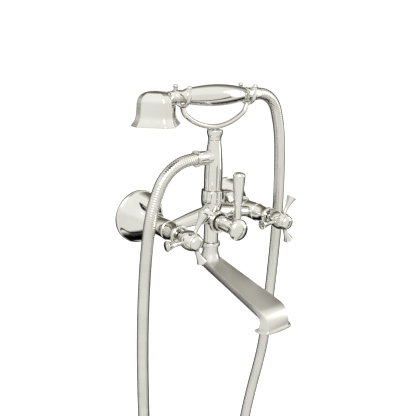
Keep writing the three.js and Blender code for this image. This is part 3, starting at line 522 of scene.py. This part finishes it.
def build_diverter():
    """The round knob in front of the bridge and the lever that stands up from it."""
    outline = [(0, -106.3), (10, -106.3), (10, -110), (10.7, -112), (12.6, -114.4),
               (14.1, -116.4), (14.3, -118), (13.4, -120.4), (10.6, -122.8), (6, -124.5),
               (0, -125.3)]
    knob = solid(outline, "Y", (0, 0, 0), 0.3, 96, "diverter_knob_skin")
    lever = (0, -113.8, 0)
    combine(knob, [], [rod(3.7, -105, -118.6, "Y", (0, 0, 0), 32), rod(3.9, 6, 16, "Z", lever, 32),
                       rod(2.1, -15.3, 0, "Z", lever, 32)])
    stand_for(knob, DIVERTER, "diverter_knob")
    grip = solid([(0, 6.3), (3.6, 6.3), (3.6, 14.6), (5.2, 14.6), (5.3, 20), (7.8, 68), (7.9, 70.4),
                  (7.2, 72.3), (5.2, 73.5), (2.6, 73.95), (0, 74)], "Z", lever, 0.4, 96,
                 "diverter_lever_skin")
    stand_for(grip, DIVERTER, "diverter_lever")


def build_column():
    """The riser, with the boss that takes the hose outlet."""
    column = solid([(0, 30), (10, 30), (10, 40.8), (12.2, 40.8), (12.2, 70), (11.1, 84), (10.1, 95),
                    (9.1, 102), (8.8, 107), (5, 107), (5, 111), (0, 111)], "Z", riser, 0.5,
                   96, "riser_column_skin")
    boss = solid([(0, 0), (9.3, 0), (9.3, -15), (0, -15)], "X", outlet_axis)
    combine(column, [boss], [rod(6, 29, 92, "Z", riser), rod(6.7, -16, -4, "X", outlet_axis)])
    stand_for(column, ROOT, "riser_column")


def build_fork():
    """The cradle: a bowed bar with a U-shaped fork and two ball-topped pegs at each end."""
    centre, radius, half = 197.6, 73.8, 52.7     # height and radius of the bow, half its width
    bar_end, peg_foot, gap = 151.8, 173.2, 14.3  # gap is from the hand shower's axis to a peg
    arc = [(-half, -REACH, bar_end)]
    for i in range(-8, 9):
        x = 48 * i / 8
        arc.append((x, -REACH, centre - math.sqrt(radius**2 - x**2)))
    arc.append((half, -REACH, bar_end))
    line = curve_through(arc, 4)
    fork = sweep("cradle_fork_skin", line, [3.2] * len(line), 32)
    parts = []
    for x in (-half, half):
        yoke = [(x, -REACH + gap, peg_foot)]
        for i in range(13):
            turn = math.pi * i / 12
            yoke.append((x, -REACH + gap * math.cos(turn), HANDLE[1] - 11.5 * math.sin(turn)))
        yoke.append((x, -REACH - gap, peg_foot))
        line = curve_through(yoke, 3)
        parts.append(sweep("tool", line, [2.5] * len(line), 28))
        for y in (-REACH + gap, -REACH - gap):
            parts.append(solid([(0, 171), (2.3, 171), (2.4, 172.8), (3.0, 173.8), (3.1, 174.8),
                                (2.4, 176.2), (1.2, 176.8), (0, 176.9)], "Z", (x, y, 0),
                               0.2, 32))
    combine(fork, parts, [rod(2.3, 118, 123.6, "Z", riser, 24)], 34)
    stand_for(fork, ROOT, "cradle_fork")


def octagon_ring(scale, z, centre, inset=0.0, corner=0.6):
    """Eight-sided ring with rounded corners: wide facets turned 45 degrees to the handle."""
    wide, narrow = 27.0 / 2, 10.5
    half = ((wide + narrow / math.sqrt(2)) - inset) * scale
    flat = (wide - inset * 0.41) * scale
    corners = [(half, -flat), (half, flat), (flat, half), (-flat, half),
               (-half, flat), (-half, -flat), (-flat, -half), (flat, -half)]
    ring = []
    for i, here in enumerate(corners):
        here = Vector(here)
        before, after = Vector(corners[i - 1]), Vector(corners[(i + 1) % 8])
        reach = min(corner * scale, 0.3 * (after - here).length, 0.3 * (before - here).length)
        a = here + (before - here).normalized() * reach
        b = here + (after - here).normalized() * reach
        ahead = b + (after - here).normalized() * min(1.0, 0.15 * (after - here).length)
        behind = a + (before - here).normalized() * min(1.0, 0.15 * (before - here).length)
        bent = [a * (1 - k / 4)**2 + here * (k / 2 * (1 - k / 4)) + b * (k / 4)**2
                for k in range(5)]
        for q in (behind, *bent, ahead):
            ring.append((centre[0] + (q.x - q.y) * math.sqrt(0.5),
                         centre[1] + (q.x + q.y) * math.sqrt(0.5), z))
    return ring


def build_head():
    """The spray head: an eight-sided bell, flared at the rim and domed on top."""
    centre, rim = head_axis[:2], 131.0
    side = soften([(1.25, 0), (1.25, 1.6), (1.18, 3.6), (1.09, 7), (1.03, 11.5), (1.0, 18),
                   (0.985, 24), (0.96, 29), (0.88, 33.4), (0.72, 36.8), (0.5, 38.9),
                   (0.26, 39.8), (0.1, 40)], False, 0.02, 60, 6)
    head = loft("handset_head_skin", [octagon_ring(s, rim + z, centre) for s, z in side])
    inner = loft("tool", [octagon_ring(s, rim + z, centre, 2.2)
                          for s, z in ((1.27, -1), (1.2, 2.5), (1.1, 6), (1.02, 11), (0.97, 18),
                                       (0.94, 26), (0.85, 32), (0.6, 36))])
    combine(head, [], [inner, rod(7.3, -75, -50, "X", handset_axis, 48)])
    stand_for(head, HANDSET, "handset_head")


SPOUT_FALL = 0.21            # of the blade for each millimetre outwards
SPOUT_TOP = -54              # height of the blade's top at the neck
SPOUT_DEPTH = 13
SPOUT_FACE = 199.6           # wall to the front face
SPOUT_BOTTOM = -105.54       # height of the lip's underside
LIP_FRONT = 202.3            # wall to the front of the lip
NOSE_LENGTH = 38.0           # of the bend, along the top
NARROWING = 0.26             # share by which the front face is narrower than the outlet


def spout_sections(inset=0.0, start=REACH):
    """Sections of the blade from root to outlet: flat top, short sides, bevelled below. Round the
    nose the top narrows to the front face and the sides splay out behind it."""
    slope, steps = math.atan(SPOUT_FALL), 40
    path, turns = [(0.0, 0.0)], []
    for i in range(steps):
        turn = slope + (math.pi / 2 - slope) * smooth((i + 0.5) / steps)
        turns.append(turn)
        path.append((path[-1][0] + NOSE_LENGTH / steps * math.cos(turn),
                     path[-1][1] - NOSE_LENGTH / steps * math.sin(turn)))
    nose = SPOUT_FACE - path[-1][0]
    stations = []
    for i in range(21):
        reach = start + (nose - start) * i / 20
        t = max(0.0, (reach - REACH) / (nose - REACH))
        stations.append((reach, SPOUT_TOP - SPOUT_FALL * (reach - REACH), slope * min(1, t * 8),
                         13.4 + 6.6 * t ** 1.15))
    drop = stations[-1][1]
    for i in range(2, steps, 2):
        stations.append((nose + path[i][0], drop + path[i][1], turns[i],
                         20.0 + 2.5 * smooth(i / steps) + 0.3 * (i / steps)))
    stations.append((SPOUT_FACE, drop + path[-1][1], math.pi / 2, 22.8))
    stations.append((SPOUT_FACE + 0.6, SPOUT_BOTTOM - (1 if inset else 0), math.pi / 2, 22.9))
    rings = []
    for reach, height, tilt, half in stations:
        w, t = half - inset, SPOUT_DEPTH - 2 * inset
        splay = max(0.0, (tilt - slope) / (math.pi / 2 - slope))
        face, low = w * (1 - NARROWING * splay), -t * (0.55 + 0.25 * splay)
        r = 0.5 if not inset else 0.3
        step = (w - face) / max(-low, 1e-6)
        half_side = [(face - r, 0), (face - 0.3 * r, -0.12 * r), (face + r * step, -r),
                     (face + 3 * r * step, -3 * r), (w - 0.8 * step, low + 0.8), (w - 0.1, low),
                     (w - 0.5, low - 0.8), (w * 0.84, -t + 0.6), (w * 0.8, -t)]
        crown = [(-(face - r) + 2 * (face - r) * k / 14, 0.4 * (1 - (2 * k / 14 - 1)**2))
                 for k in range(1, 14)]
        outline = [(-x, d) for x, d in reversed(half_side)] + crown + half_side
        rings.append([(x, -(reach + math.sin(tilt) * (d - inset)),
                       height + math.cos(tilt) * (d - inset)) for x, d in outline])
    return rings


def build_spout():
    """Swivel neck, flat widening blade that turns down at the nose, and a lipped outlet."""
    blade = loft("spout_skin", spout_sections(), NICKEL_SOFT)
    neck = solid([(0, -66), (12.1, -66), (13.6, -61), (13.6, -54.5), (12.6, -51), (11.4, -47),
                  (10.9, -43.5), (10.9, -37.6), (0, -37.6)], "Z", riser)
    front, back, w = -LIP_FRONT, 18.0 - LIP_FRONT, 25.4
    corner = w * (1 - NARROWING) + 1
    bow = [(corner * (2 * k / 20 - 1), front + 1.5 - 1.75 * (1 - (2 * k / 20 - 1)**2))
           for k in range(21)]
    edge = curve_through([(-w, back, 0), (-w, front + 10.5, 0), (-w + 0.9, front + 8, 0),
                          (-corner - 1.2, front + 2.4, 0), (*bow[1], 0)], 3)
    edge = [(q.x, q.y) for q in edge]
    edge += bow[2:-2] + [(-x, y) for x, y in reversed(edge)]
    mid = (front + back) / 2

    def shelf(z, size):
        return [(x * size, mid + (y - mid) * size, z) for x, y in edge]

    bead = ((0, 0.975), (0.3, 0.992), (0.9, 1.0), (2.0, 1.0), (2.8, 0.99), (3.2, 0.965),
            (3.4, 0.90))
    lip = loft("tool", [shelf(SPOUT_BOTTOM + rise, size) for rise, size in bead])
    channel = loft("tool", spout_sections(2.2, 58.8)[24:])
    combine(blade, [neck, lip], [channel, rod(8.7, -56, -37, "Z", riser)])
    stand_for(blade, SPOUT, "spout")


build_body()
for side, x in SIDES:
    build_handle(side, x)
build_diverter()
build_column()
build_fork()
build_head()
build_spout()


# ------------------------------------------------------------------ stage and lights
WORLD_LIGHT = 1.08           # strength of the room in reflections
PAPER_LIGHT = 1.0            # how bright the pale floor and backdrop are to the eye


def build_stage():
    """A large pale floor well below the hose, bright to the eye and absent from reflections."""
    floor = -0.62
    verts, faces = [], []
    size, cells = 8.0, 12
    for i in range(cells + 1):
        for j in range(cells + 1):
            verts.append(((i / cells - 0.5) * size / MM, (j / cells - 0.5) * size / MM, floor / MM))
    for i in range(cells):
        for j in range(cells):
            a = i * (cells + 1) + j
            faces.append([a, a + 1, a + cells + 2, a + cells + 1])
    paper = finish_material("floor_paper", 0.0, (0.90, 0.90, 0.89), (0.93, 0.93, 0.92),
                            (0.6, 0.8), 900, 0.0002)
    tree = paper.node_tree
    shader = tree.nodes["Principled BSDF"]
    shader.inputs["Emission Color"].default_value = (1, 1, 1, 1)
    eye = tree.nodes.new("ShaderNodeLightPath")
    glow = tree.nodes.new("ShaderNodeMath")
    glow.operation = "MULTIPLY"
    glow.inputs[1].default_value = WORLD_LIGHT * PAPER_LIGHT - 0.6
    tree.links.new(eye.outputs["Is Camera Ray"], glow.inputs[0])
    tree.links.new(glow.outputs["Value"], shader.inputs["Emission Strength"])
    floor_sheet = make("floor", verts, faces, paper)
    floor_sheet.visible_glossy = False


def soft_box(name, place, target, width, height, power, colour=(1, 1, 1)):
    data = bpy.data.lights.new(name, "AREA")
    data.shape = "RECTANGLE"
    data.size, data.size_y = width, height
    data.energy = power
    data.color = colour
    lamp = bpy.data.objects.new(name, data)
    lamp.location = place
    lamp.rotation_euler = (Vector(target) - Vector(place)).to_track_quat("-Z", "Y").to_euler()
    bpy.context.scene.collection.objects.link(lamp)


def build_world():
    """Pale to the eye. Reflections see a room banded from behind the object to in front of it,
    softer above, and dark straight below."""
    world = bpy.data.worlds.new("studio")
    bpy.context.scene.world = world
    world.use_nodes = True
    tree = world.node_tree
    tree.nodes.clear()
    coords = tree.nodes.new("ShaderNodeTexCoord")
    dot = tree.nodes.new("ShaderNodeVectorMath")
    dot.operation = "DOT_PRODUCT"
    dot.inputs[1].default_value = (-0.599, -0.749, 0.284)
    tree.links.new(coords.outputs["Generated"], dot.inputs[0])
    facing = spread(tree, dot.outputs["Value"], 0, 1, -1, 1)
    low = ramp(tree, facing, (0.0, (0.95, 0.95, 0.94)), (0.04, (0.72, 0.71, 0.68)),
               (0.065, (0.003, 0.003, 0.002)), (0.27, (0.008, 0.008, 0.005)),
               (0.31, (0.24, 0.235, 0.18)), (0.38, (0.80, 0.795, 0.75)),
               (0.45, (0.96, 0.955, 0.93)), (0.46, (0.03, 0.028, 0.02)),
               (0.505, (0.04, 0.038, 0.03)),
               (0.52, (0.84, 0.835, 0.79)), (1.0, (0.88, 0.875, 0.85)))
    high = ramp(tree, facing, (0.0, (0.40, 0.39, 0.34)), (0.08, (0.11, 0.107, 0.08)),
                (0.24, (0.17, 0.166, 0.13)), (0.34, (0.50, 0.49, 0.43)),
                (0.44, (0.98, 0.975, 0.95)), (1.0, (1.0, 0.995, 0.98)))
    axes = tree.nodes.new("ShaderNodeSeparateXYZ")
    tree.links.new(coords.outputs["Generated"], axes.inputs["Vector"])
    both = tree.nodes.new("ShaderNodeMix")
    both.data_type = "RGBA"
    tree.links.new(spread(tree, axes.outputs["Z"], 0, 1, 0.12, 0.42), both.inputs["Factor"])
    tree.links.new(low, both.inputs["A"])
    tree.links.new(high, both.inputs["B"])
    nadir = spread(tree, axes.outputs["Z"], 0.05, 1, -0.92, -0.80)
    dimmed = tree.nodes.new("ShaderNodeVectorMath")
    dimmed.operation = "SCALE"
    tree.links.new(both.outputs["Result"], dimmed.inputs[0])
    tree.links.new(nadir, dimmed.inputs["Scale"])
    eye = tree.nodes.new("ShaderNodeLightPath")
    mix = tree.nodes.new("ShaderNodeMix")
    mix.data_type = "RGBA"
    mix.inputs["B"].default_value = (PAPER_LIGHT, PAPER_LIGHT, PAPER_LIGHT, 1)
    tree.links.new(eye.outputs["Is Camera Ray"], mix.inputs["Factor"])
    tree.links.new(dimmed.outputs["Vector"], mix.inputs["A"])
    back = tree.nodes.new("ShaderNodeBackground")
    back.inputs["Strength"].default_value = WORLD_LIGHT
    tree.links.new(mix.outputs["Result"], back.inputs["Color"])
    out = tree.nodes.new("ShaderNodeOutputWorld")
    tree.links.new(back.outputs["Background"], out.inputs["Surface"])


build_stage()
build_world()
soft_box("key", (-0.9, -1.2, 1.1), (0, -0.06, 0.03), 0.9, 0.9, 9)
soft_box("fill", (1.3, -0.9, 0.4), (0, -0.06, 0.0), 0.5, 1.2, 3, (1.0, 0.98, 0.95))

# ------------------------------------------------------------------ carried-over CAD nodes
for entry in frame["record"]["subparts"]:
    node = frame["nodes"][entry["node"]]
    node.data.materials.clear()
    node.data.materials.append(SLOTS[entry["material_slot"]])

bpy.context.scene.view_settings.view_transform = "Standard"
